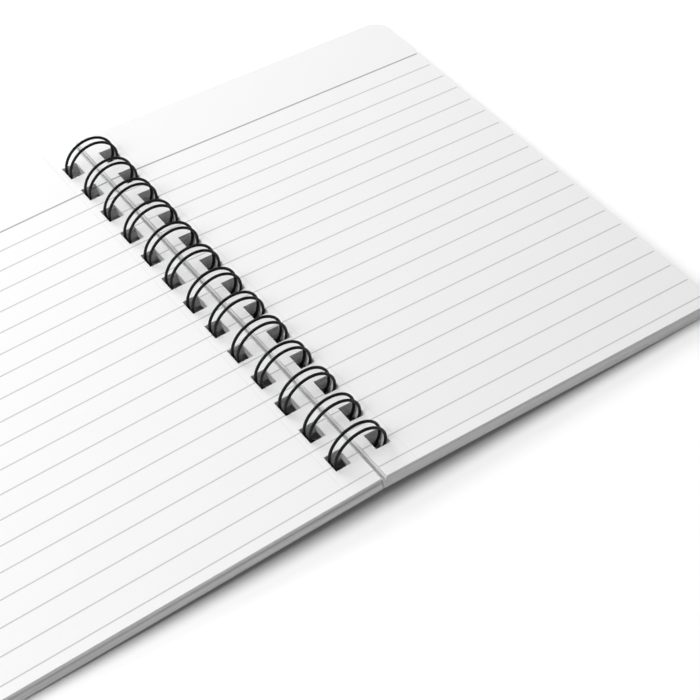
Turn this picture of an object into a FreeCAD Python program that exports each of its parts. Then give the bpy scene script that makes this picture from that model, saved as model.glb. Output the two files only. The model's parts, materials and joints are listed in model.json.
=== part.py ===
import FreeCAD, Part
import math
import os

# Ruled notebook lying open at its middle, held by a double-loop wire.
# Lengths are in millimetres. X runs across the spine and Y up the page.
# The origin lies on the table, under the middle of the spine.

# Sheets and covers
SHEET_WIDTH = 127.0        # from the inner edge to the outer edge
SHEET_HEIGHT = 177.8
CORNER_RADIUS = 6.35       # the two outer corners of sheets and covers
STACK_THICKNESS = 4.75     # the leaves that lie on one side
COVER_THICKNESS = 0.45
LEAF_GAP = 1.235           # the top leaf's inner edge, from the middle of the spine
STACK_LEAN = 0.735         # the lowest leaf lies this much nearer to the spine
COVER_GAP = 0.12           # the cover's inner edge as it lies, from the middle of the spine
FACE_DROP = 0.05           # the top leaf's face, below the axis of the loops

# Score that lets a leaf tear off, pressed into the top leaf of each side
SCORE_MARGIN = 10.6        # from the leaf's inner edge to the middle of the score
SCORE_WIDTH = 0.3
SCORE_DEPTH = 0.08

# Punched holes, one row along each inner edge
HOLE_WIDTH = 5.3           # across the spine
HOLE_LENGTH = 6.3          # along the spine
HOLE_PLAY = 0.36           # from the loop's outside to the hole's outer edge, in the top leaf

# Double-loop wire
LOOP_PITCH = 12.7
LOOP_RADIUS = 8.8          # to the middle of the wire
WIRE_DIAMETER = 0.95
PAIR_SPACING = 3.0         # between the two wires of one loop
BEND_RADIUS = 1.2          # where a loop turns into the bar to the next loop
TIP_ANGLE = 62.0           # the closed end of each loop, degrees below the level of the axis
END_STUB = 1.5             # cut end of the wire beyond the first and the last loop

# Worked out from the sizes above
WIRE_RADIUS = WIRE_DIAMETER / 2.0
AXIS_HEIGHT = LOOP_RADIUS + WIRE_RADIUS
COVER_TOP = -FACE_DROP - STACK_THICKNESS
COVER_UNDERSIDE = COVER_TOP - COVER_THICKNESS
HOLE_NEAR = LOOP_RADIUS + WIRE_RADIUS + HOLE_PLAY - HOLE_WIDTH
LOW_LEAF_GAP = LEAF_GAP - STACK_LEAN
COVER_REACH = LOW_LEAF_GAP + SHEET_WIDTH
LOOP_COUNT = int(SHEET_HEIGHT / LOOP_PITCH + 0.001) - 1

LEFT = -1
RIGHT = 1
AXIS = FreeCAD.Vector(0, 1, 0)
CENTRE = FreeCAD.Vector(0, 0, 0)


def loop_places():
    """Places of the loops along the spine, the same number each side of the middle."""
    half = (LOOP_COUNT - 1) / 2.0
    return [(half - index) * LOOP_PITCH for index in range(LOOP_COUNT)]


def resting_tilt():
    """Angle in degrees at which the cover's outer edge comes down to the table."""
    reach = math.hypot(COVER_REACH, COVER_UNDERSIDE)
    sunk = math.atan2(-COVER_UNDERSIDE, COVER_REACH)
    return math.degrees(math.asin(AXIS_HEIGHT / reach) - sunk)


def rectangle(side, near, far, low, high, level):
    """Closed outline between two distances from the spine, at one level."""
    corners = [(near, low), (far, low), (far, high), (near, high), (near, low)]
    return Part.makePolygon([FreeCAD.Vector(side * x, y, level) for x, y in corners])


def rounded_outline(side, near, far, level):
    """Outline of a sheet: square at the spine and round at the two outer corners."""
    half = SHEET_HEIGHT / 2.0
    radius = CORNER_RADIUS
    middle = radius * (1.0 - math.sqrt(0.5))

    def at(x, y):
        return FreeCAD.Vector(side * x, y, level)

    low_arc = Part.Arc(at(far - radius, -half), at(far - middle, middle - half),
                       at(far, radius - half))
    high_arc = Part.Arc(at(far, half - radius), at(far - middle, half - middle),
                        at(far - radius, half))
    edges = [
        Part.makeLine(at(near, -half), at(far - radius, -half)),
        low_arc.toShape(),
        Part.makeLine(at(far, radius - half), at(far, half - radius)),
        high_arc.toShape(),
        Part.makeLine(at(far - radius, half), at(near, half)),
        Part.makeLine(at(near, half), at(near, -half)),
    ]
    return Part.Wire(edges)


def punched_sheet(side, near, far, hole_near, level):
    """Flat face of a sheet with its row of holes."""
    outline = rounded_outline(side, near, far, level)
    half = HOLE_LENGTH / 2.0
    holes = [rectangle(side, hole_near, hole_near + HOLE_WIDTH, y - half, y + half, level)
             for y in loop_places()]
    blank = Part.Face(outline)
    return blank.cut([Part.Face(hole) for hole in holes]).Faces[0]


def laid_down(shape, side):
    """Turns one side about the loops' axis onto the table."""
    shape.rotate(CENTRE, AXIS, side * resting_tilt())
    shape.translate(FreeCAD.Vector(0, 0, AXIS_HEIGHT))
    return shape


def score(side):
    """Shallow line along the whole height of the top leaf, outside its holes."""
    middle = LEAF_GAP + SCORE_MARGIN
    half = SHEET_HEIGHT / 2.0
    line = rectangle(side, middle - SCORE_WIDTH / 2.0, middle + SCORE_WIDTH / 2.0,
                     -half, half, -FACE_DROP - SCORE_DEPTH)
    return Part.Face(line).extrude(FreeCAD.Vector(0, 0, SCORE_DEPTH))


def page_stack(side):
    """Leaves of one side: one sheet's face carried down and a little inwards."""
    face = punched_sheet(side, LEAF_GAP, LEAF_GAP + SHEET_WIDTH, HOLE_NEAR, -FACE_DROP)
    slant = FreeCAD.Vector(-side * STACK_LEAN, 0, -STACK_THICKNESS)
    return laid_down(face.extrude(slant).cut(score(side)), side)


def cover(side):
    """Card cover of one side, flush with the lowest leaf and its holes."""
    tilt = math.radians(resting_tilt())
    near = (COVER_GAP - COVER_UNDERSIDE * math.sin(tilt)) / math.cos(tilt)
    face = punched_sheet(side, near, COVER_REACH, HOLE_NEAR - STACK_LEAN, COVER_TOP)
    return laid_down(face.extrude(FreeCAD.Vector(0, 0, -COVER_THICKNESS)), side)


def wire_section(middle, direction):
    """Round section of the wire, square to its direction."""
    return Part.Face(Part.Wire(Part.makeCircle(WIRE_RADIUS, middle, direction)))


def loop_wire(y):
    """One wire of a loop, from the bar at the foot round to the closed tip."""
    foot = FreeCAD.Vector(0, y, -LOOP_RADIUS)
    section = wire_section(foot, FreeCAD.Vector(1, 0, 0))
    return section.revolve(CENTRE, AXIS, 270.0 + TIP_ANGLE)


def loop_tip(y):
    """Half turn that joins the two wires of a loop at its closed end."""
    angle = math.radians(-TIP_ANGLE)
    outwards = FreeCAD.Vector(math.cos(angle), 0, math.sin(angle))
    onwards = FreeCAD.Vector(math.sin(angle), 0, -math.cos(angle))
    middle = outwards * LOOP_RADIUS + FreeCAD.Vector(0, y, 0)
    start = middle + FreeCAD.Vector(0, PAIR_SPACING / 2.0, 0)
    return wire_section(start, onwards).revolve(middle, outwards * -1, 180.0)


def foot_bend(y, way):
    """Quarter turn from a loop's foot into the bar, up or down the spine."""
    foot = FreeCAD.Vector(0, y, -LOOP_RADIUS)
    pivot = foot + FreeCAD.Vector(0, way * BEND_RADIUS, 0)
    section = wire_section(foot, FreeCAD.Vector(1, 0, 0))
    return section.revolve(pivot, FreeCAD.Vector(0, 0, way), 90.0)


def straight_bar(start, end):
    """Straight wire along the spine, between two places on Y."""
    base = FreeCAD.Vector(BEND_RADIUS, start, -LOOP_RADIUS)
    return Part.makeCylinder(WIRE_RADIUS, end - start, base, AXIS)


def binding_wire():
    """Whole wire: loops in pairs of wires, with a bar from each loop to the next."""
    half = PAIR_SPACING / 2.0
    bend_end = half + BEND_RADIUS
    places = loop_places()
    pieces = []
    for y in places:
        pieces.append(loop_tip(y))
        for way in (1, -1):
            pieces.append(loop_wire(y + way * half))
            pieces.append(foot_bend(y + way * half, way))
    for upper, lower in zip(places, places[1:]):
        pieces.append(straight_bar(lower + bend_end, upper - bend_end))
    pieces.append(straight_bar(places[0] + bend_end, places[0] + bend_end + END_STUB))
    pieces.append(straight_bar(places[-1] - bend_end - END_STUB, places[-1] - bend_end))
    wire = pieces[0].multiFuse(pieces[1:]).removeSplitter()
    wire.translate(FreeCAD.Vector(0, 0, AXIS_HEIGHT))
    return wire.Solids[0] if len(wire.Solids) == 1 else wire


def main():
    """Builds every piece and writes one file for each."""
    os.makedirs("parts", exist_ok=True)
    pieces = {
        "front_cover": cover(LEFT),
        "left_pages": page_stack(LEFT),
        "right_pages": page_stack(RIGHT),
        "back_cover": cover(RIGHT),
        "binding_wire": binding_wire(),
    }
    for name, shape in pieces.items():
        shape.exportStep("parts/" + name + ".step")
        box = shape.BoundBox
        print(name, "solids", len(shape.Solids), "valid", shape.isValid(),
              "volume", round(shape.Volume, 1),
              "x", round(box.XMin, 2), round(box.XMax, 2),
              "y", round(box.YMin, 2), round(box.YMax, 2),
              "z", round(box.ZMin, 3), round(box.ZMax, 3))


main()
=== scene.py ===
import json
import logging
import math
from dataclasses import dataclass
from enum import Enum
from typing import Any, Dict, List, Optional, Sequence, Tuple, Union

import bpy
import numpy as np
from mathutils import Euler, Matrix, Vector

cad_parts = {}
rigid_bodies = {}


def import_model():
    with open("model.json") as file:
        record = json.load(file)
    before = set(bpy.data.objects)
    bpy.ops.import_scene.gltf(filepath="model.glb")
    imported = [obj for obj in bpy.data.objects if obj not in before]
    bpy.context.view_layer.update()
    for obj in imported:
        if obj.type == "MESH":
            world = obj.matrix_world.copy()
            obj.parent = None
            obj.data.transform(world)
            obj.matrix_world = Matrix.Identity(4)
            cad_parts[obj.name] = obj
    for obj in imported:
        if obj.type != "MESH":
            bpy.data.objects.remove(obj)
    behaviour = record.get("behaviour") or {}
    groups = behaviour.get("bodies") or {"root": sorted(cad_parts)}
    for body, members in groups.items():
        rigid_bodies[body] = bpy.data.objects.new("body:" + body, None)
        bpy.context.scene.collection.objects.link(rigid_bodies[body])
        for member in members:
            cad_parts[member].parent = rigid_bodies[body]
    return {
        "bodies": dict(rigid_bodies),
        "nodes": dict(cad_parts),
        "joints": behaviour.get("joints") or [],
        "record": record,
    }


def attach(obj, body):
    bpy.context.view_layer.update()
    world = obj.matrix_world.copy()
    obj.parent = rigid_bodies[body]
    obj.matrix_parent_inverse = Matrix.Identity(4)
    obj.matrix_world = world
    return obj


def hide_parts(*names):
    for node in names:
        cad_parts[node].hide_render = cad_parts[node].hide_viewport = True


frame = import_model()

LOG = logging.getLogger("open_notebook")
MM = 0.001

# A fibre shows where its noise rises from the first value to the second
FIBRE_BAND = (0.58, 0.8)

# Places of a colour Mix node's factor, two colours and result among its sockets
MIX_FACTOR, MIX_FIRST, MIX_SECOND, MIX_RESULT = 0, 6, 7, 2

# Rings of points for each leaf: its upper edge, its lower edge and the groove under it
LEAF_RINGS = 3

Colour = Tuple[float, float, float, float]
Number = Union[int, float]
Span = Tuple[float, float]


class Side(Enum):
    """Which side of the spine a piece lies on; the value is its sign on X."""

    LEFT = -1
    RIGHT = 1


class Face(Enum):
    """Place of a finish in the list of materials of a stack of leaves."""

    PAGE = 0
    EDGE = 1


def grey(value: float) -> Colour:
    """Opaque neutral colour.

    Args:
        value: Linear value of all three channels.

    Returns:
        The colour with its alpha.
    """
    return (value, value, value, 1.0)


@dataclass(frozen=True)
class Spine:
    """Axis that all sides turn on, and the slope of each side as it lies open.

    Lengths are in metres and the slope is in radians.
    """

    height: float
    slope: float

    @classmethod
    def from_frame(cls, loaded: Dict[str, Any]) -> "Spine":
        """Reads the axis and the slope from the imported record.


        Returns:
            The spine as it lies on the table.
        """
        mounts = {mount["name"]: mount for mount in loaded["record"]["mounts"]}
        normal = mounts["right_writing_face"]["axis"]
        height = loaded["joints"][0]["pos_m"][2]
        return cls(height=height, slope=math.atan2(normal[0], normal[2]))

    def laid(self, side: Side, across: np.ndarray, along: np.ndarray,
             level: np.ndarray) -> np.ndarray:
        """Places points of one side on the table.

        Each point is turned about the axis by the slope, so its outer end goes down:
        x = across cos s + level sin s and z = level cos s - across sin s, and x is
        mirrored on the left.

        Args:
            side: Left or right of the spine.
            across: Distances from the spine, measured along the sheet.
            along: Places up the page.
            level: Heights above the axis, measured square to the sheet.

        Returns:
            One row of x, y and z for each point.
        """
        cos_s, sin_s = math.cos(self.slope), math.sin(self.slope)
        x = side.value * (across * cos_s + level * sin_s)
        z = self.height + level * cos_s - across * sin_s
        return np.stack(np.broadcast_arrays(x, along, z), axis=-1).reshape(-1, 3)


@dataclass(frozen=True)
class SheetSizes:
    """Sizes of one punched sheet and of the stack on one side, in metres.

    Near is the inner edge of the solid's top leaf, and the seam is half the space left
    between the lower leaves of the two sides. The stack leans in by the lean from its
    top leaf to its lowest.
    """

    width: float = 127.0 * MM
    height: float = 177.8 * MM
    corner: float = 6.35 * MM
    near: float = 1.235 * MM
    seam: float = 0.08 * MM
    face_drop: float = 0.05 * MM
    stack: float = 4.75 * MM
    lean: float = 0.735 * MM
    hole_near: float = 4.335 * MM
    hole_width: float = 5.3 * MM
    hole_length: float = 6.3 * MM
    score_margin: float = 10.6 * MM
    score_width: float = 0.3 * MM
    score_depth: float = 0.02 * MM
    loops: int = 13
    pitch: float = 12.7 * MM

    def loop_places(self) -> np.ndarray:
        """Places of the loops along the spine, from the head of the page down."""
        return ((self.loops - 1) / 2.0 - np.arange(self.loops)) * self.pitch

    def far(self) -> float:
        """Distance of the outer edge of the top leaf from the spine."""
        return self.near + self.width


@dataclass(frozen=True)
class Ruling:
    """Printed lines of a page, in metres; their count takes in the header line."""

    header: float = 23.65 * MM
    spacing: float = 7.9035 * MM
    lines: int = 20
    end_margin: float = 1.1 * MM
    thickness: float = 0.44 * MM
    header_thickness: float = 0.62 * MM
    header_drop: float = 0.10 * MM
    softness: float = 0.10 * MM


@dataclass(frozen=True)
class StackPlan:
    """What sets one stack of leaves apart from the other, with lengths in metres.

    Each step is a depth and the inner edge of the upper leaves from there on. The
    parting is the height of the gap between the upper and the lower leaves, and the
    crevice is how far short of the middle the first of the lower leaves ends. The
    painted shade is how much darker the cut edges are painted there, standing in for
    shade in the parting. The line shift moves the printed lines up the page, and the
    seed sets the leaves out of line.
    """

    side: Side
    steps: Tuple[Span, ...]
    parting: float
    crevice: float
    parting_shade: float
    line_shift: float
    seed: int


# The left stack gets painted shade on its cut edges at the parting; the right one gets
# none.
STACK_PLANS = {
    "left_pages": StackPlan(
        Side.LEFT, steps=((0.0, 0.90 * MM),), parting=0.2 * MM, crevice=0.6 * MM,
        parting_shade=0.2, line_shift=-0.31 * MM, seed=5),
    "right_pages": StackPlan(
        Side.RIGHT, steps=((0.0, 1.05 * MM), (0.8 * MM, 0.72 * MM)), parting=0.0,
        crevice=0.0, parting_shade=0.0, line_shift=-0.15 * MM, seed=8),
}


class Signal:
    """A value in a material's node tree, used in Python expressions.

    The graph is the node tree that the value belongs to, and the socket is the output
    that gives it.
    """

    def __init__(self, graph: "Graph", socket: bpy.types.NodeSocket) -> None:
        """Keeps the node tree and the socket."""
        self.graph = graph
        self.socket = socket

    def __add__(self, other: "Term") -> "Signal":
        """Sum."""
        return self.graph.maths("ADD", self, other)

    __radd__ = __add__

    def __sub__(self, other: "Term") -> "Signal":
        """Difference."""
        return self.graph.maths("SUBTRACT", self, other)

    def __rsub__(self, other: "Term") -> "Signal":
        """Difference, with the signal taken away."""
        return self.graph.maths("SUBTRACT", other, self)

    def __mul__(self, other: "Term") -> "Signal":
        """Product."""
        return self.graph.maths("MULTIPLY", self, other)

    __rmul__ = __mul__

    def __truediv__(self, other: "Term") -> "Signal":
        """Quotient."""
        return self.graph.maths("DIVIDE", self, other)

    def __lt__(self, other: "Term") -> "Signal":
        """One where the signal is less, zero elsewhere."""
        return self.graph.maths("LESS_THAN", self, other)

    def __gt__(self, other: "Term") -> "Signal":
        """One where the signal is greater, zero elsewhere."""
        return self.graph.maths("GREATER_THAN", self, other)

    def __abs__(self) -> "Signal":
        """Size without sign."""
        return self.graph.maths("ABSOLUTE", self)

    def rounded(self) -> "Signal":
        """Nearest whole number."""
        return self.graph.maths("ROUND", self)

    def ramp(self, low: float, high: float) -> "Signal":
        """Turns the signal into a smooth step.

        Args:
            low: Value up to which the step is zero.
            high: Value from which on the step is one.

        Returns:
            The step.
        """
        node = self.graph.node("ShaderNodeMapRange",
                               {"interpolation_type": "SMOOTHSTEP"},
                               {"Value": self, "From Min": low, "From Max": high})
        return Signal(self.graph, node.outputs["Result"])


Term = Union[Signal, Number]


class Graph:
    """A procedural material and the few calls that build its node tree."""

    def __init__(self, name: str) -> None:
        """Starts the material with an empty surface and its output.

        Args:
            name: Name of the material.
        """
        self.material = bpy.data.materials.new(name)
        self.material.use_nodes = True
        self.tree = self.material.node_tree
        self.tree.nodes.clear()
        self.surface = self.node("ShaderNodeBsdfPrincipled")
        self.output = self.node("ShaderNodeOutputMaterial")
        self.link(self.surface.outputs["BSDF"], self.output.inputs["Surface"])

    def link(self, source: bpy.types.NodeSocket, target: bpy.types.NodeSocket) -> None:
        """Joins an output socket to an input socket."""
        self.tree.links.new(source, target)

    def node(self, kind: str, settings: Optional[Dict[str, Any]] = None,
             values: Optional[Dict[Any, Any]] = None) -> bpy.types.Node:
        """Adds one node.

        Args:
            kind: Type of the node.
            settings: Properties that are set first, such as an operation.
            values: Numbers, colours, sockets or signals, by the name of the input.

        Returns:
            The new node.
        """
        made = self.tree.nodes.new(kind)
        for key, value in (settings or {}).items():
            setattr(made, key, value)
        for key, value in (values or {}).items():
            self.feed(made.inputs[key], value)
        return made

    def feed(self, target: bpy.types.NodeSocket, value: Any) -> None:
        """Sets an input socket.

        Args:
            target: The input.
            value: A signal, an output socket or a plain value.
        """
        if isinstance(value, Signal):
            self.link(value.socket, target)
        elif isinstance(value, bpy.types.NodeSocket):
            self.link(value, target)
        else:
            target.default_value = value

    def maths(self, operation: str, *terms: Term) -> Signal:
        """Adds a Math node.

        Args:
            operation: Name of the operation.
            terms: Its terms, in their order.

        Returns:
            The result.
        """
        made = self.node("ShaderNodeMath", {"operation": operation})
        for place, term in enumerate(terms):
            self.feed(made.inputs[place], term)
        return Signal(self, made.outputs[0])

    def place(self) -> Tuple[Signal, Signal, Signal, bpy.types.NodeSocket]:
        """Reads where a point lies in the object's own coordinates.

        Returns:
            X, Y and Z as signals, and all three as one vector socket.
        """
        source = self.node("ShaderNodeTexCoord").outputs["Object"]
        parts = self.node("ShaderNodeSeparateXYZ", None, {"Vector": source}).outputs
        return (Signal(self, parts["X"]), Signal(self, parts["Y"]),
                Signal(self, parts["Z"]), source)

    def noise(self, vector: bpy.types.NodeSocket, scale: float,
              detail: float) -> Signal:
        """Adds noise around one half.

        Args:
            vector: Where the noise is read.
            scale: Repeats for each metre.
            detail: Number of finer layers on top.

        Returns:
            The noise.
        """
        made = self.node("ShaderNodeTexNoise", None,
                         {"Vector": vector, "Scale": scale, "Detail": detail})
        return Signal(self, made.outputs["Fac"])

    def vector(self, x: Term, y: Term, z: Term) -> bpy.types.NodeSocket:
        """Joins three terms into a vector.

        Args:
            x: First term.
            y: Second term.
            z: Third term.

        Returns:
            The socket of the vector.
        """
        made = self.node("ShaderNodeCombineXYZ", None, {"X": x, "Y": y, "Z": z})
        return made.outputs["Vector"]

    def mix(self, amount: Term, first: Any, second: Any) -> bpy.types.NodeSocket:
        """Mixes two colours.

        Args:
            amount: Zero gives the first colour and one gives the second.
            first: A colour or a colour socket.
            second: A colour or a colour socket.

        Returns:
            The socket of the mixed colour.
        """
        made = self.node("ShaderNodeMix", {"data_type": "RGBA"})
        self.feed(made.inputs[MIX_FACTOR], amount)
        self.feed(made.inputs[MIX_FIRST], first)
        self.feed(made.inputs[MIX_SECOND], second)
        return made.outputs[MIX_RESULT]

    def bump(self, height: Signal, strength: float, distance: float) -> None:
        """Raises the surface by a signal.

        Args:
            height: Signal from zero to one.
            strength: Share of the effect.
            distance: Height of one unit of the signal, in metres.
        """
        made = self.node("ShaderNodeBump", None,
                         {"Height": height, "Strength": strength, "Distance": distance})
        self.feed(self.surface.inputs["Normal"], made.outputs["Normal"])

    def set(self, **values: Any) -> None:
        """Sets inputs of the surface; an underscore in a name stands for a space."""
        for key, value in values.items():
            self.feed(self.surface.inputs[key.replace("_", " ")], value)


@dataclass(frozen=True)
class PagePaper:
    """Uncoated writing paper with printed lines, on the flat of a leaf.

    Tones are linear greys, and a dip is a share of the paper's tone. Scales are in
    repeats for each metre, and the line shift and the relief are in metres. Score is
    how much painted shade darkens the paper along the scored tear-off groove, and the
    covers and the ink's grain say how much of the paper the ink hides.
    """

    sizes: SheetSizes
    ruling: Ruling
    line_shift: float
    tone: float = 0.90
    ink: float = 0.56
    ink_cover: float = 0.82
    header_ink: float = 0.39
    header_cover: float = 0.85
    ink_grain: float = 0.3
    score: float = 0.07
    cloud_scale: float = 55.0
    cloud_dip: float = 0.988
    fibre_scale: float = 2600.0
    fibre_dip: float = 0.95
    fibre_share: float = 0.25
    relief: float = 0.04 * MM

    def lines(self, graph: Graph, x: Signal, y: Signal) -> Tuple[Signal, Signal]:
        """Masks of the thin lines and of the header line.

        A line's number is the whole number nearest to (top - y) / spacing, and the mask
        is one within half a line's thickness of it.

        Args:
            graph: Tree of the material.
            x: Place across the spine.
            y: Place up the page.

        Returns:
            The mask of the thin lines and the mask of the header line.
        """
        rule = self.ruling
        top = self.sizes.height / 2.0 - rule.header + self.line_shift
        place = (top - y) / rule.spacing
        number = place.rounded()
        away = abs(place - number) * rule.spacing
        on_page = abs(x) < self.sizes.far() - rule.end_margin
        counted = (number > -0.5) * (number < rule.lines - 0.5) * on_page
        header = number < 0.5
        thin_half = rule.thickness / 2.0
        bold_half = rule.header_thickness / 2.0
        thin = 1 - away.ramp(thin_half - rule.softness, thin_half + rule.softness)
        lowered = abs(y - top + rule.header_drop)
        bold = 1 - lowered.ramp(bold_half - rule.softness, bold_half + rule.softness)
        return thin * counted * (1 - header), bold * counted * header

    def material(self, name: str) -> bpy.types.Material:
        """Builds the paper.

        Args:
            name: Name of the material.

        Returns:
            The material.
        """
        graph = Graph(name)
        x, y, _, place = graph.place()
        cloud = graph.noise(place, self.cloud_scale, detail=4.0)
        fibre = graph.noise(place, self.fibre_scale, detail=5.0)
        paper = graph.mix(cloud, grey(self.tone * self.cloud_dip), grey(self.tone))
        paper = graph.mix(fibre.ramp(*FIBRE_BAND) * self.fibre_share, paper,
                          grey(self.tone * self.fibre_dip))
        # Painted shade: a faint dark line along the scored groove, standing in for the
        # shade in it.
        score = abs(abs(x) - self.sizes.near - self.sizes.score_margin)
        score = 1 - score.ramp(0.0, self.sizes.score_width)
        paper = graph.mix(score * self.score, paper, grey(0.0))
        thin, bold = self.lines(graph, x, y)
        grain = fibre * self.ink_grain
        printed = graph.mix(thin * (self.ink_cover + grain), paper, grey(self.ink))
        printed = graph.mix(bold * (self.header_cover + grain), printed,
                            grey(self.header_ink))
        graph.set(Base_Color=printed, Roughness=0.9, Specular_IOR_Level=0.25)
        graph.bump(fibre + cloud * 0.5, strength=0.25, distance=self.relief)
        return graph.material


@dataclass(frozen=True)
class LeafEdge:
    """Cut edges of a stack of leaves, streaked from leaf to leaf.

    The painted shade is a darker band on the edges where the upper leaves end,
    standing in for shade in the parting; its three places are depths under the axis,
    in metres. The two scales of a streak are repeats for each metre along the leaves
    and down the stack.
    """

    spine: Spine
    parting_shade: float
    parting_shade_starts: float = 1.0 * MM
    parting_shade_middle: float = 2.2 * MM
    parting_shade_ends: float = 2.95 * MM
    tone: float = 0.97
    dark: float = 0.69
    fine_scales: Span = (45.0, 7000.0)
    fine_band: Span = (0.35, 0.7)
    fine_share: float = 0.4
    broad_scales: Span = (8.0, 1500.0)
    broad_band: Span = (0.38, 0.64)
    grain_scale: float = 5200.0
    relief: float = 0.05 * MM

    def material(self, name: str) -> bpy.types.Material:
        """Builds the edge.

        Streaks follow the level in the stack, which is z + |x| tan(slope).

        Args:
            name: Name of the material.

        Returns:
            The material.
        """
        graph = Graph(name)
        x, y, z, place = graph.place()
        level = z + abs(x) * math.tan(self.spine.slope)
        along, down = self.fine_scales
        fine = graph.noise(graph.vector(x * along, y * along, level * down), 1.0,
                           detail=3.0)
        along, down = self.broad_scales
        broad = graph.noise(graph.vector(x * along, y * along, level * down), 1.0,
                            detail=2.0)
        streak = (fine.ramp(*self.fine_band) * self.fine_share
                  + broad.ramp(*self.broad_band) * (1.0 - self.fine_share))
        grain = graph.noise(place, self.grain_scale, detail=2.0)
        colour = graph.mix(streak, grey(self.tone), grey(self.dark))
        # Painted shade: a darker band across the cut edges around the parting of the
        # upper and the lower leaves, standing in for the shade there.
        depth = self.spine.height - level
        parting_shade = depth.ramp(self.parting_shade_starts, self.parting_shade_middle)
        parting_shade = parting_shade * (1 - depth.ramp(self.parting_shade_middle, self.parting_shade_ends))
        colour = graph.mix(parting_shade * self.parting_shade, colour, grey(0.0))
        graph.set(Base_Color=colour, Roughness=0.95, Specular_IOR_Level=0.15)
        graph.bump(fine + grain * 0.4, strength=0.5, distance=self.relief)
        return graph.material


@dataclass(frozen=True)
class CoverCard:
    """Card printed matt dark grey on both faces, with a pale core at its cut edges.

    Middle is the depth of the card's middle under the axis, half is half its thickness
    and the skin is the thickness of the print, in metres. Dips and lifts are shares of
    a tone, and scales are in repeats for each metre.
    """

    spine: Spine
    middle: float = 5.025 * MM
    half: float = 0.225 * MM
    skin: float = 0.02 * MM
    tone: float = 0.08
    core: float = 0.86
    core_dip: float = 0.86
    cloud_scale: float = 90.0
    cloud_dip: float = 0.9
    cloud_lift: float = 1.08
    fibre_scale: float = 3400.0
    fibre_lift: float = 1.7
    fibre_share: float = 0.35
    relief: float = 0.03 * MM

    def material(self, name: str) -> bpy.types.Material:
        """Builds the card.

        The depth under the axis, square to the sheet, is
        (height - z) cos(slope) - |x| sin(slope). The core shows where it lies nearer
        to the middle of the card than a face does.

        Args:
            name: Name of the material.

        Returns:
            The material.
        """
        graph = Graph(name)
        x, _, z, place = graph.place()
        slope = self.spine.slope
        depth = (self.spine.height - z) * math.cos(slope) - abs(x) * math.sin(slope)
        face = abs(depth - self.middle).ramp(self.half - self.skin,
                                             self.half - self.skin / 2.0)
        cloud = graph.noise(place, self.cloud_scale, detail=4.0)
        fibre = graph.noise(place, self.fibre_scale, detail=4.0)
        printed = graph.mix(cloud, grey(self.tone * self.cloud_dip),
                            grey(self.tone * self.cloud_lift))
        printed = graph.mix(fibre.ramp(*FIBRE_BAND) * self.fibre_share, printed,
                            grey(self.tone * self.fibre_lift))
        core = graph.mix(fibre, grey(self.core * self.core_dip), grey(self.core))
        graph.set(Base_Color=graph.mix(face, core, printed),
                  Roughness=0.62 + fibre * 0.14, Specular_IOR_Level=0.35)
        graph.bump(fibre, strength=0.2, distance=self.relief)
        return graph.material


@dataclass(frozen=True)
class BlackWire:
    """Satin black coat on bent steel wire.

    The dip and the lift are shares of the tone, scales are in repeats for each metre
    and the relief is in metres.
    """

    tone: float = 0.002
    cloud_scale: float = 700.0
    cloud_dip: float = 0.8
    cloud_lift: float = 1.5
    peel_scale: float = 4500.0
    relief: float = 0.04 * MM

    def material(self, name: str) -> bpy.types.Material:
        """Builds the coat.

        Args:
            name: Name of the material.

        Returns:
            The material.
        """
        graph = Graph(name)
        _, _, _, place = graph.place()
        cloud = graph.noise(place, self.cloud_scale, detail=3.0)
        peel = graph.noise(place, self.peel_scale, detail=2.0)
        coat = graph.mix(cloud, grey(self.tone * self.cloud_dip),
                         grey(self.tone * self.cloud_lift))
        graph.set(Base_Color=coat, Roughness=0.34 + cloud * 0.12,
                  Specular_IOR_Level=0.22)
        graph.bump(peel, strength=0.12, distance=self.relief)
        return graph.material


def make_piece(name: str, points: np.ndarray, faces: np.ndarray, smooth: bool,
               materials: Sequence[bpy.types.Material],
               finish: Optional[np.ndarray] = None) -> bpy.types.Object:
    """Puts worked-out points and faces into a new object at the origin.

    Args:
        name: Name of the object.
        points: One row of x, y and z for each point.
        faces: One row of point numbers for each face.
        smooth: Whether the faces are shaded smooth.
        materials: Finishes, in the order of their numbers.
        finish: Number of the finish of each face.

    Returns:
        The object.
    """
    mesh = bpy.data.meshes.new(name)
    mesh.from_pydata(points, [], faces)
    for material in materials:
        mesh.materials.append(material)
    if finish is not None:
        mesh.polygons.foreach_set("material_index", finish.astype(np.int32))
    mesh.polygons.foreach_set("use_smooth", np.full(len(faces), smooth))
    mesh.update()
    mesh.validate()
    piece = bpy.data.objects.new(name, mesh)
    bpy.context.scene.collection.objects.link(piece)
    return piece


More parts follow.
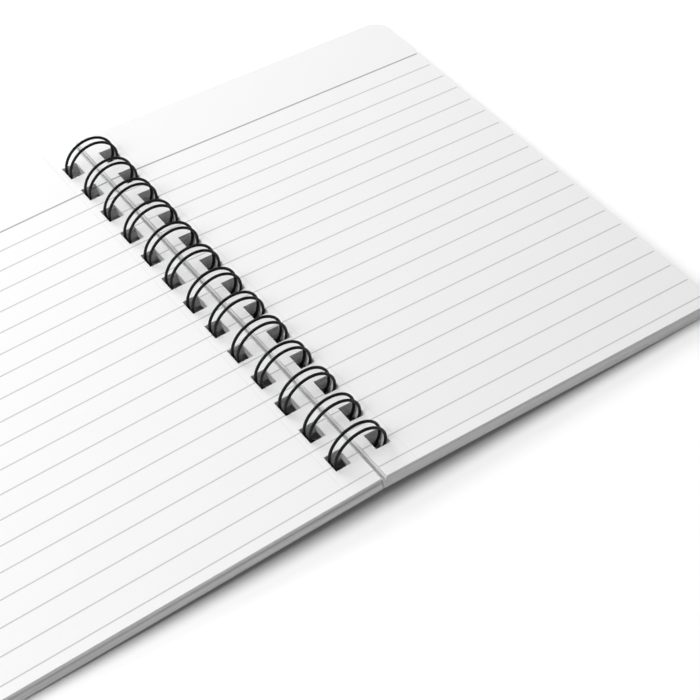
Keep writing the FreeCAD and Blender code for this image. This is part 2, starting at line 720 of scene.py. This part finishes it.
@dataclass(frozen=True)
class LeafStack:
    """Leaves of one side as one closed surface, whose edges show every leaf.

    Each leaf lies a little out of line with the next, and the surface goes in between
    them in a fine groove. The upper leaves end short of the middle of the spine and the
    lower leaves close up to the middle. Lengths are in metres. Upper is the height of
    the upper leaves, the spread is the share by which thicknesses differ, the misfit is
    how far a leaf may lie out of line, and the groove share is the part of a leaf's
    thickness that its groove takes.
    """

    plan: StackPlan
    spine: Spine
    sizes: SheetSizes
    leaves: int = 46
    upper: float = 2.1 * MM
    spread: float = 0.15
    misfit: float = 0.05 * MM
    groove: float = 0.07 * MM
    groove_share: float = 0.2
    parting_inset: float = 0.9 * MM
    body_steps: int = 14
    corner_steps: int = 12

    def top_edge(self) -> float:
        """Distance of the top leaf's inner edge from the spine."""
        return self.plan.steps[0][1]

    def upper_count(self) -> int:
        """Number of the upper leaves."""
        return round(self.leaves * self.upper / self.sizes.stack)

    def across_lines(self) -> np.ndarray:
        """Works out where the sheet's grid has lines across the page.

        Returns:
            Rising distances from the spine: the inner edge, the row of holes, the
            score, the plain page and the round corner.
        """
        size = self.sizes
        hole = size.hole_near
        score = size.near + size.score_margin
        half = size.score_width / 2.0
        bend = size.far() - size.corner
        turn = np.sin(np.linspace(0.0, math.pi / 2.0, self.corner_steps + 1))[1:]
        return np.concatenate([
            [self.top_edge(), hole, hole + size.hole_width],
            [score - half, score, score + half],
            np.linspace(score + half, bend, self.body_steps)[1:],
            bend + size.corner * turn])

    def along_lines(self) -> np.ndarray:
        """Works out where the sheet's grid has lines up the page.

        Returns:
            Rising places: the foot, both ends of each hole and the head.
        """
        places = self.sizes.loop_places()[::-1]
        half = self.sizes.hole_length / 2.0
        edges = np.stack([places - half, places + half], axis=1).ravel()
        end = self.sizes.height / 2.0
        return np.concatenate([[-end], edges, [end]])

    def grid(self) -> Tuple[np.ndarray, np.ndarray]:
        """Across and along values of the sheet's grid.

        Past the start of the corner the height of a column is
        H/2 - r + sqrt(r^2 - d^2), where d is how far the column lies past that start.

        Returns:
            Two arrays with one row for each distance from the spine.
        """
        size = self.sizes
        across = self.across_lines()
        along = self.along_lines()
        past = np.clip(across - (size.far() - size.corner), 0.0, size.corner)
        half = size.height / 2.0 - size.corner + np.sqrt(size.corner ** 2 - past ** 2)
        share = along / (size.height / 2.0)
        return (np.repeat(across[:, None], len(along), axis=1),
                half[:, None] * share[None, :])

    @staticmethod
    def rim(columns: int, rows: int) -> np.ndarray:
        """Follows the edge of the grid.

        Args:
            columns: Number of the grid's lines across the page.
            rows: Number of its lines up the page.

        Returns:
            Numbers of the points round the edge, anticlockwise from above.
        """
        table = np.arange(columns * rows).reshape(columns, rows)
        return np.concatenate([table[:-1, 0], table[-1, :-1],
                               table[:0:-1, -1], table[0, :0:-1]])

    def hole_rims(self, rows: int) -> List[np.ndarray]:
        """Follows the edge of each hole, between the second and the third column.

        Args:
            rows: Number of the grid's lines up the page.

        Returns:
            Numbers of the points round each hole, clockwise from above.
        """
        near, far = rows, 2 * rows
        lows = [1 + 2 * hole for hole in range(self.sizes.loops)]
        return [np.array([near + low, near + low + 1, far + low + 1, far + low])
                for low in lows]

    @staticmethod
    def caps(columns: int, rows: int) -> np.ndarray:
        """Covers the flat face with squares, and leaves out those of the holes.

        Args:
            columns: Number of the grid's lines across the page.
            rows: Number of its lines up the page.

        Returns:
            One row of four point numbers for each square.
        """
        column, row = np.meshgrid(np.arange(columns - 1), np.arange(rows - 1),
                                  indexing="ij")
        holes = (column == 1) & (row % 2 == 1)
        column, row = column[~holes], row[~holes]
        first = column * rows + row
        return np.stack([first, first + rows, first + rows + 1, first + 1], axis=1)

    def leaf_levels(self, rng: np.random.Generator
                    ) -> Tuple[np.ndarray, np.ndarray, np.ndarray]:
        """Spreads the leaves over the height of the stack.

        Args:
            rng: Seeded numbers that make the thicknesses differ.

        Returns:
            For each leaf the depth of its upper edge, the depth of its lower edge and
            the height of the gap under it.
        """
        size, parting, above = self.sizes, self.plan.parting, self.upper_count()
        thick = rng.uniform(1.0 - self.spread, 1.0 + self.spread, self.leaves)
        for part, total in ((slice(0, above), self.upper - parting),
                            (slice(above, self.leaves), size.stack - self.upper)):
            thick[part] *= total / thick[part].sum()
        gap = self.groove_share * thick
        thick[above - 1] += parting
        gap[above - 1] += parting
        top = np.concatenate([[0.0], np.cumsum(thick)[:-1]])
        bottom = top + thick - gap
        bottom[-1] = size.stack
        return top, bottom, gap

    def inner_edges(self, depth: np.ndarray, top: np.ndarray) -> np.ndarray:
        """Works out where each ring of points ends towards the spine.

        The upper leaves end at their steps. The lower leaves end at
        (seam - level sin s) / cos s, which lies at the seam once the side is laid down,
        and a share (stack - depth) / (stack - upper) of the crevice is added.

        Args:
            depth: Depth of each ring.
            top: Depth of each leaf's upper edge.

        Returns:
            One distance from the spine for each ring.
        """
        size, slope = self.sizes, self.spine.slope
        level = -size.face_drop - depth
        closed = (size.seam - level * math.sin(slope)) / math.cos(slope)
        closed += self.plan.crevice * (size.stack - depth) / (size.stack - self.upper)
        starts, places = np.array(self.plan.steps).T
        leaf = np.repeat(top, LEAF_RINGS)[:len(depth)]
        upper = places[np.searchsorted(starts, leaf, side="right") - 1]
        lower = np.arange(len(depth)) >= LEAF_RINGS * self.upper_count()
        return np.where(lower, closed, upper)

    def leaf_rows(self) -> Dict[str, np.ndarray]:
        """Depth, drift, inset and inner edge of each ring of points down the stack.

        Each leaf has a ring at its upper and one at its lower edge, and a ring between
        two leaves lies deeper, so the stack shows a fine groove there. Where the lower
        leaves begin, the groove is as high as the parting.

        Returns:
            Arrays by name, with one value for each ring.
        """
        rng = np.random.default_rng(self.plan.seed)
        top, bottom, gap = self.leaf_levels(rng)
        drift = rng.uniform(-self.misfit, self.misfit, (self.leaves, 2))
        middle = (drift + np.roll(drift, -1, axis=0)) / 2.0
        moved = np.stack([drift, drift, middle], axis=1).reshape(-1, 2)[:-1]
        plain = np.full(self.leaves, self.misfit)
        inset = plain + self.groove
        if self.plan.parting:
            inset[self.upper_count() - 1] += self.parting_inset
        inward = np.stack([plain, plain, inset], axis=1).ravel()[:-1]
        depth = np.stack([top, bottom, bottom + gap / 2.0], axis=1).ravel()[:-1]
        return {"depth": depth, "across": moved[:, 0], "along": moved[:, 1],
                "inset": inward, "inner": self.inner_edges(depth, top)}

    @staticmethod
    def outward(across: np.ndarray, along: np.ndarray) -> Tuple[np.ndarray, np.ndarray]:
        """Finds directions square to a closed outline, to the right of its way round.

        Args:
            across: Distances from the spine of the outline's points.
            along: Places up the page of the outline's points.

        Returns:
            Both parts of a direction of length one, for each point.
        """
        step_x = np.roll(across, -1) - np.roll(across, 1)
        step_y = np.roll(along, -1) - np.roll(along, 1)
        length = np.hypot(step_x, step_y)
        return step_y / length, -step_x / length

    def wall(self, rim: np.ndarray, across: np.ndarray, along: np.ndarray,
             rows: Dict[str, np.ndarray], first: int,
             lower: int) -> Tuple[np.ndarray, np.ndarray]:
        """One wall down the stack, round the outside or round a hole.

        A point lies at x - lean + drift - inset out_x and y + drift - inset out_y. At
        the inner edge the ring's own inner edge stands for x - lean, and the drift only
        takes a leaf away from the middle.

        Args:
            rim: Numbers of the rim's points in the grid of the top face.
            across: Distances from the spine of the grid's points.
            along: Places up the page of the grid's points.
            rows: Depth, drift, inset and inner edge of each ring.
            first: Number that the wall's first new point gets.
            lower: Number of the first point of the lowest face's grid.

        Returns:
            Points of the wall between its two rims, and its squares.
        """
        x, y = across[rim], along[rim]
        out_x, out_y = self.outward(x, y)
        inner = slice(1, len(rows["depth"]) - 1)
        depth = rows["depth"][inner, None]
        lean = self.sizes.lean * depth / self.sizes.stack
        inset = rows["inset"][inner, None]
        edge = x[None, :] == self.top_edge()
        start = np.where(edge, rows["inner"][inner, None], x - lean)
        shift = rows["across"][inner, None]
        shift = np.where(edge, np.abs(shift) - self.misfit, shift)
        new_x = start + shift - inset * out_x
        out_y = np.where(edge, np.sign(out_y), out_y)
        new_y = y + rows["along"][inner, None] - inset * out_y
        points = self.spine.laid(self.plan.side, new_x, new_y,
                                 -self.sizes.face_drop - depth)
        middle = first + np.arange(new_x.size).reshape(new_x.shape)
        ring = np.concatenate([rim[None, :], middle, lower + rim[None, :]])
        after = np.roll(ring, -1, axis=1)
        squares = np.stack([ring[:-1], ring[1:], after[1:], after[:-1]], axis=-1)
        return points, squares.reshape(-1, 4)

    def build(self, name: str, page: bpy.types.Material,
              edge: bpy.types.Material) -> bpy.types.Object:
        """Builds the stack.

        Args:
            name: Name of the piece.
            page: Finish of the flat faces.
            edge: Finish of the cut edges.

        Returns:
            The piece.
        """
        size = self.sizes
        across, along = self.grid()
        columns, rows = across.shape
        on_score = np.isclose(across, size.near + size.score_margin)
        score = np.where(on_score, size.score_depth, 0.0)
        top = self.spine.laid(self.plan.side, across, along, -size.face_drop - score)
        rings = self.leaf_rows()
        under = across - size.lean
        under[0] = rings["inner"][-1]
        low = self.spine.laid(self.plan.side, under, along,
                              np.full(across.shape, -size.face_drop - size.stack))
        cap = self.caps(columns, rows)
        points, squares = [top, low], [cap, cap[:, ::-1] + len(top)]
        count = 2 * len(top)
        for rim in [self.rim(columns, rows), *self.hole_rims(rows)]:
            wall_points, wall = self.wall(rim, across.ravel(), along.ravel(), rings,
                                          count, len(top))
            points.append(wall_points)
            squares.append(wall)
            count += len(wall_points)
        faces = np.concatenate(squares)
        if self.plan.side is Side.LEFT:
            faces = faces[:, ::-1]
        finish = np.full(len(faces), Face.EDGE.value)
        finish[:2 * len(cap)] = Face.PAGE.value
        return make_piece(name, np.concatenate(points), faces, False, [page, edge],
                          finish)


@dataclass(frozen=True)
class DoubleLoopWire:
    """One wire bent into pairs of rings, with a bar from each pair to the next.

    Lengths are in metres and angles are in degrees. Radius is that of a ring and wire
    is the wire's own. The foot angle is where a ring starts, under the axis, and the
    tip angle is how far below the axis's level it ends.
    """

    spine: Spine
    sizes: SheetSizes
    radius: float = 8.8 * MM
    wire: float = 0.475 * MM
    pair: float = 3.0 * MM
    bend: float = 1.2 * MM
    stub: float = 1.5 * MM
    foot_angle: float = 270.0
    tip_angle: float = 62.0
    arc_steps: int = 92
    tip_steps: int = 12
    bend_steps: int = 6
    sides: int = 14

    def foot_bend(self, way: int) -> np.ndarray:
        """Quarter turn from the bar into a loop, flat under the axis.

        With a from 0 to 90 degrees, x = b (1 - sin a) and y = h + b (1 - cos a)
        measured from the middle of the loop, where h is half the pair's spacing.

        Args:
            way: 1 up the page from the loop, -1 down the page.

        Returns:
            Points from the bar to the foot of the loop.
        """
        turn = np.linspace(0.0, math.pi / 2.0, self.bend_steps + 1)[:-1]
        x = self.bend * (1.0 - np.sin(turn))
        y = self.pair / 2.0 + self.bend - self.bend * (1.0 - np.cos(turn))
        return np.stack([x, way * y, np.full_like(x, -self.radius)], axis=1)

    def ring(self, way: int) -> np.ndarray:
        """One ring from its foot round to the tip: x = r cos a and z = r sin a.

        Args:
            way: 1 for the upper ring of the pair, -1 for the lower one.

        Returns:
            Points from the foot to the tip.
        """
        turn = np.radians(np.linspace(self.foot_angle, -self.tip_angle, self.arc_steps))
        y = np.full_like(turn, way * self.pair / 2.0)
        return np.stack([self.radius * np.cos(turn), y, self.radius * np.sin(turn)],
                        axis=1)

    def tip(self) -> np.ndarray:
        """Half turn that closes a pair, in the plane that touches the rings there.

        Each point is middle + h (cos t up + sin t onward) with t from 0 to 180 degrees,
        where h is half the pair's spacing.

        Returns:
            Points between the two rings.
        """
        angle = math.radians(-self.tip_angle)
        middle = self.radius * np.array([math.cos(angle), 0.0, math.sin(angle)])
        onward = np.array([math.sin(angle), 0.0, -math.cos(angle)])
        turn = np.linspace(0.0, math.pi, self.tip_steps + 1)[1:-1, None]
        half = self.pair / 2.0
        upward = np.array([0.0, 1.0, 0.0])
        return middle + half * (np.cos(turn) * upward + np.sin(turn) * onward)

    def route(self) -> np.ndarray:
        """Joins bends, rings and tips into the middle line of the whole wire.

        Returns:
            Points from the head of the page to its foot.
        """
        one = np.concatenate([self.foot_bend(1), self.ring(1), self.tip(),
                              self.ring(-1)[::-1], self.foot_bend(-1)[::-1]])
        places = self.sizes.loop_places()
        shift = np.zeros((len(places), 1, 3))
        shift[:, 0, 1] = places
        line = (one[None] + shift).reshape(-1, 3)
        head = line[0] + np.array([0.0, self.stub, 0.0])
        foot = line[-1] - np.array([0.0, self.stub, 0.0])
        return np.concatenate([head[None], line, foot[None]])

    def build(self, name: str, coat: bpy.types.Material) -> bpy.types.Object:
        """Carries a round section along the route.

        The section's first direction points away from the axis, made square to the
        route, and its second direction is square to both. A point of the skin is
        line + w (cos t away + sin t beside), where w is the wire's radius.

        Args:
            name: Name of the piece.
            coat: Finish of the wire.

        Returns:
            The piece.
        """
        line = self.route()
        ahead = np.gradient(line, axis=0)
        ahead /= np.linalg.norm(ahead, axis=1, keepdims=True)
        away = line * np.array([1.0, 0.0, 1.0])
        away -= ahead * np.sum(away * ahead, axis=1, keepdims=True)
        away /= np.linalg.norm(away, axis=1, keepdims=True)
        beside = np.cross(ahead, away)
        turn = np.linspace(0.0, 2.0 * math.pi, self.sides, endpoint=False)[:, None]
        section = np.cos(turn) * away[:, None] + np.sin(turn) * beside[:, None]
        skin = (line[:, None] + self.wire * section).reshape(-1, 3)
        points = np.concatenate([skin, line[:1], line[-1:]])
        points[:, 2] += self.spine.height
        table = np.arange(len(skin)).reshape(len(line), self.sides)
        after = np.roll(table, -1, axis=1)
        tube = np.stack([table[:-1], after[:-1], after[1:], table[1:]], axis=-1)
        faces = [tuple(face) for face in tube.reshape(-1, 4).tolist()]
        head, foot = len(skin), len(skin) + 1
        faces += [(head, b, a) for a, b in zip(table[0].tolist(), after[0].tolist())]
        faces += [(foot, a, b) for a, b in zip(table[-1].tolist(), after[-1].tolist())]
        return make_piece(name, points, faces, True, [coat])


@dataclass(frozen=True)
class Notebook:
    """The whole object: two stacks of leaves, two covers and the wire."""

    spine: Spine
    sizes: SheetSizes = SheetSizes()
    ruling: Ruling = Ruling()

    def dress_stack(self, node: str, plan: StackPlan) -> None:
        """Builds the leaves of one side in place of the plain block.

        Args:
            node: Name of the plain block.
            plan: What sets this stack apart.
        """
        page = PagePaper(self.sizes, self.ruling, plan.line_shift)
        # The edge finish carries the painted shade of the parting.
        edge = LeafEdge(self.spine, plan.parting_shade)
        piece = LeafStack(plan, self.spine, self.sizes).build(
            node.replace("pages", "leaves"),
            page.material(node + "_paper"), edge.material(node + "_edge"))
        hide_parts(node)
        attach(piece, node)
        LOG.info("%s: %d faces", piece.name, len(piece.data.polygons))

    def dress_cover(self, node: str) -> None:
        """Gives a cover its card.

        Args:
            node: Name of the cover.
        """
        card = CoverCard(self.spine).material(node + "_card")
        cover = frame["nodes"][node]
        for slot in cover.material_slots:
            slot.link = "OBJECT"
            slot.material = card
        LOG.info("%s: card", node)

    def dress_wire(self, node: str) -> None:
        """Builds the wire in place of the plain one.

        Args:
            node: Name of the plain wire.
        """
        coat = BlackWire().material("black_coat")
        piece = DoubleLoopWire(self.spine, self.sizes).build("loop_wire", coat)
        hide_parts(node)
        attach(piece, "binding")
        LOG.info("%s: %d faces", piece.name, len(piece.data.polygons))

    def build(self) -> None:
        """Builds and dresses every piece."""
        for node, plan in STACK_PLANS.items():
            self.dress_stack(node, plan)
        self.dress_cover("front_cover")
        self.dress_cover("back_cover")
        self.dress_wire("binding_wire")


@dataclass(frozen=True)
class Lamp:
    """Round soft lamp that faces the middle of the object.

    The bearing is in degrees from the head of the page towards the right, the rise is
    in degrees above the table, lengths are in metres and the power is in watts.
    """

    name: str
    bearing: float
    rise: float
    distance: float
    size: float
    power: float

    def hang(self) -> None:
        """Hangs the lamp in the scene."""
        bearing, rise = math.radians(self.bearing), math.radians(self.rise)
        place = self.distance * Vector((math.sin(bearing) * math.cos(rise),
                                        math.cos(bearing) * math.cos(rise),
                                        math.sin(rise)))
        data = bpy.data.lights.new(self.name, "AREA")
        data.shape = "DISK"
        data.size = self.size
        data.energy = self.power
        lamp = bpy.data.objects.new(self.name, data)
        lamp.location = place
        lamp.rotation_mode = "QUATERNION"
        lamp.rotation_quaternion = (-place).to_track_quat("-Z", "Y")
        bpy.context.scene.collection.objects.link(lamp)


@dataclass(frozen=True)
class Studio:
    """Pale floor, soft light from above and the camera of the photograph.

    Lengths are in metres and angles are in degrees. The floor lies lower than the
    table's level by the floor drop, so it touches no face of the object.
    """

    floor_size: float = 6.0
    floor_drop: float = 0.02 * MM
    floor_tone: float = 0.85
    seen_tone: float = 1.15
    shadow_ends: float = 0.21
    white_starts: float = 0.36
    sky: float = 0.2256
    lamps: Tuple[Lamp, ...] = (
        Lamp("left", bearing=270.0, rise=44.0, distance=0.8, size=0.5, power=3.05),
        Lamp("head", bearing=0.0, rise=38.0, distance=0.8, size=0.5, power=2.78),
        Lamp("right_high", bearing=45.0, rise=65.0, distance=2.0, size=1.0, power=11.8),
    )
    camera_place: Tuple[float, float, float] = (-0.18693, -0.33616, 0.39240)
    azimuth: float = 35.340
    elevation: float = 46.884
    roll: float = 0.042
    lens_mm: float = 89.95
    sensor_mm: float = 36.0
    clip_start: float = 0.01

    def lay_floor(self) -> None:
        """Lays the floor, which keeps the shadow and looks white to camera and gloss.

        Past the shadow it fades to plain white, by its distance from the middle.
        """
        graph = Graph("floor")
        x, y, _, _ = graph.place()
        reach = graph.maths("SQRT", x * x + y * y)
        rays = graph.node("ShaderNodeLightPath")
        seen = graph.maths("ADD", rays.outputs["Is Camera Ray"],
                           rays.outputs["Is Glossy Ray"])
        colour = graph.mix(seen, grey(self.floor_tone), grey(self.seen_tone))
        diffuse = graph.node("ShaderNodeBsdfDiffuse", None, {"Color": colour})
        white = graph.node("ShaderNodeEmission", None, {"Color": grey(1.0)})
        faded = graph.node("ShaderNodeMixShader", None, {
            0: seen * reach.ramp(self.shadow_ends, self.white_starts),
            1: diffuse.outputs["BSDF"], 2: white.outputs["Emission"]})
        graph.link(faded.outputs["Shader"], graph.output.inputs["Surface"])
        graph.tree.nodes.remove(graph.surface)
        half = self.floor_size / 2.0
        level = -self.floor_drop
        outline = np.array([[-half, -half, level], [half, -half, level],
                            [half, half, level], [-half, half, level]])
        floor = make_piece("floor", outline, np.array([[0, 1, 2, 3]]), False,
                           [graph.material])

    def fill_sky(self) -> None:
        """Sets an even sky, which is dim to every surface and white to the camera."""
        world = bpy.data.worlds.new("sky")
        world.use_nodes = True
        tree = world.node_tree
        tree.nodes.clear()
        rays = tree.nodes.new("ShaderNodeLightPath")
        strength = tree.nodes.new("ShaderNodeMapRange")
        strength.inputs["To Min"].default_value = self.sky
        strength.inputs["To Max"].default_value = 1.0
        back = tree.nodes.new("ShaderNodeBackground")
        back.inputs["Color"].default_value = grey(1.0)
        output = tree.nodes.new("ShaderNodeOutputWorld")
        tree.links.new(rays.outputs["Is Camera Ray"], strength.inputs["Value"])
        tree.links.new(strength.outputs["Result"], back.inputs["Strength"])
        tree.links.new(back.outputs["Background"], output.inputs["Surface"])
        bpy.context.scene.world = world

    def set_camera(self) -> None:
        """Sets the camera where the photograph was taken from."""
        data = bpy.data.cameras.new("camera")
        data.sensor_width = self.sensor_mm
        data.lens = self.lens_mm
        data.clip_start = self.clip_start
        camera = bpy.data.objects.new("camera", data)
        aim = Euler((math.radians(90.0 - self.elevation), 0.0,
                     -math.radians(self.azimuth))).to_matrix()
        turned = aim @ Matrix.Rotation(-math.radians(self.roll), 3, "Z")
        camera.rotation_euler = turned.to_euler()
        camera.location = self.camera_place
        bpy.context.scene.collection.objects.link(camera)
        bpy.context.scene.camera = camera

    def build(self) -> None:
        """Sets the whole stage."""
        self.lay_floor()
        for lamp in self.lamps:
            lamp.hang()
        self.fill_sky()
        self.set_camera()
        bpy.context.scene.view_settings.view_transform = "Standard"
        LOG.info("stage: set")


def main() -> None:
    """Builds the object and its stage."""
    logging.basicConfig(level=logging.INFO, format="%(name)s %(message)s")
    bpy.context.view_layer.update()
    Notebook(Spine.from_frame(frame)).build()
    Studio().build()
    LOG.info("sizes: written")


if __name__ == "__main__":
    main()
